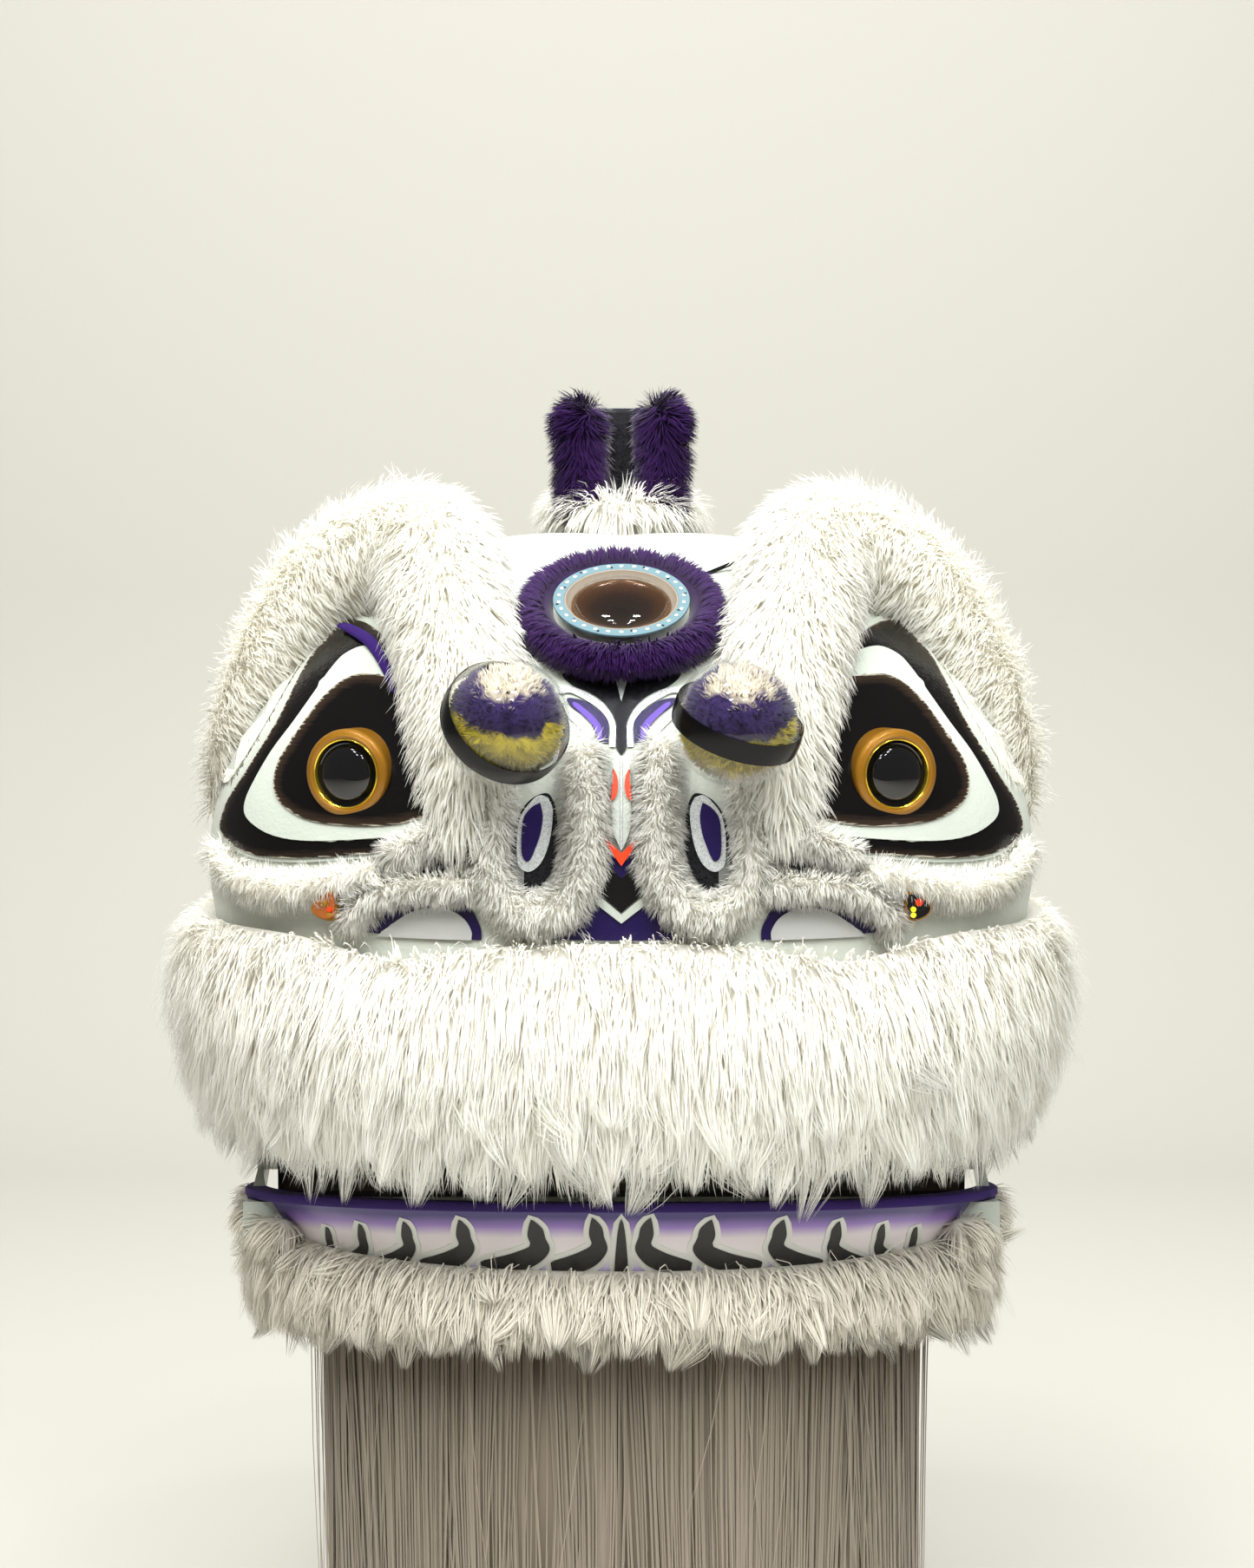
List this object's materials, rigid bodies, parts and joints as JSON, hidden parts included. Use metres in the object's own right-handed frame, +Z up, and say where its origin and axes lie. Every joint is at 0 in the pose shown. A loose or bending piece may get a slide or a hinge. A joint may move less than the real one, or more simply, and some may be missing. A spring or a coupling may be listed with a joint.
{
  "type": "lion dance head",
  "caption": "Lion dance head: painted papier-mache shell with fur brows and lip, eyes, nose, horn and clear balls, worn over the dancer's head, with a hinged bearded jaw.",
  "frame": {"origin": "middle of the cane carrying bar that crosses the base hoop, where the dancer's hands hold the head", "axes": "+Z up when worn; the face looks along -Y; +X is to the right of someone who looks at the face"},
  "size_m": [0.6816, 0.6448, 1.0006],
  "materials": {
    "painted_shell": "white painted papier-mache over a rattan frame, satin",
    "rattan": "bare split cane, satin",
    "white_fur": "long white pile on a woven backing",
    "purple_fur": "deep violet pile on a woven backing",
    "black_paint": "black lacquer over papier-mache, glossy",
    "gold_paint": "moulded ring painted dark gold",
    "black_glass": "black polished dome",
    "mirror_metal": "polished bowl with a brown tint",
    "circuit_board": "pale blue printed board with light chips",
    "clear_plastic": "clear moulded plastic",
    "pompom_wool": "yellow, violet and white wool yarn",
    "black_tape": "black vinyl tape",
    "silver_paint": "silver glitter paint over papier-mache",
    "jaw_paint": "white papier-mache painted with violet shading and black flames",
    "beard_hair": "long straight hair, pale beige",
    "steel": "bare steel wire and pins"
  },
  "bodies": {
    "head": {"skull_shell": "painted_shell", "base_hoop": "rattan", "carry_bar": "rattan", "lip_fur": "white_fur", "lid_edge_left": "purple_fur", "mirror_dish": "mirror_metal", "light_ring": "circuit_board", "mirror_lens": "clear_plastic", "mirror_collar": "purple_fur", "horn_core": "black_paint", "horn_base_fur": "white_fur", "horn_fur_left": "purple_fur", "horn_fur_right": "purple_fur", "horn_cap": "silver_paint", "nose_bridge": "silver_paint", "feeler_stick": "black_tape", "brow_fur_left": "white_fur", "nose_fur_left": "white_fur", "cheek_fur_upper_left": "white_fur", "cheek_fur_lower_left": "white_fur", "under_eye_fur_left": "white_fur", "eye_plate_left": "black_paint", "eye_ring_left": "gold_paint", "eyeball_left": "black_glass", "nostril_left": "black_paint", "mouth_ornament_left": "gold_paint", "ball_shell_left": "clear_plastic", "ball_pompom_left": "pompom_wool", "ball_post_left": "steel", "ball_tape_left": "black_tape", "ear_left": "white_fur", "jaw_pin_left": "steel", "brow_fur_right": "white_fur", "nose_fur_right": "white_fur", "cheek_fur_upper_right": "white_fur", "cheek_fur_lower_right": "white_fur", "under_eye_fur_right": "white_fur", "eye_plate_right": "black_paint", "eye_ring_right": "gold_paint", "eyeball_right": "black_glass", "nostril_right": "black_paint", "mouth_ornament_right": "gold_paint", "ball_shell_right": "clear_plastic", "ball_pompom_right": "pompom_wool", "ball_post_right": "steel", "ball_tape_right": "black_tape", "ear_right": "white_fur", "jaw_pin_right": "steel"},
    "jaw": {"jaw_pan": "jaw_paint", "jaw_rim": "purple_fur", "jaw_fur": "white_fur", "beard": "beard_hair"}
  },
  "joints": [
    {"name": "jaw_hinge", "type": "hinge", "parent": "head", "child": "jaw", "pos_m": [0, -0.035, 0], "axis": [-1, 0, 0], "range_deg": [0, 14]}
  ]
}
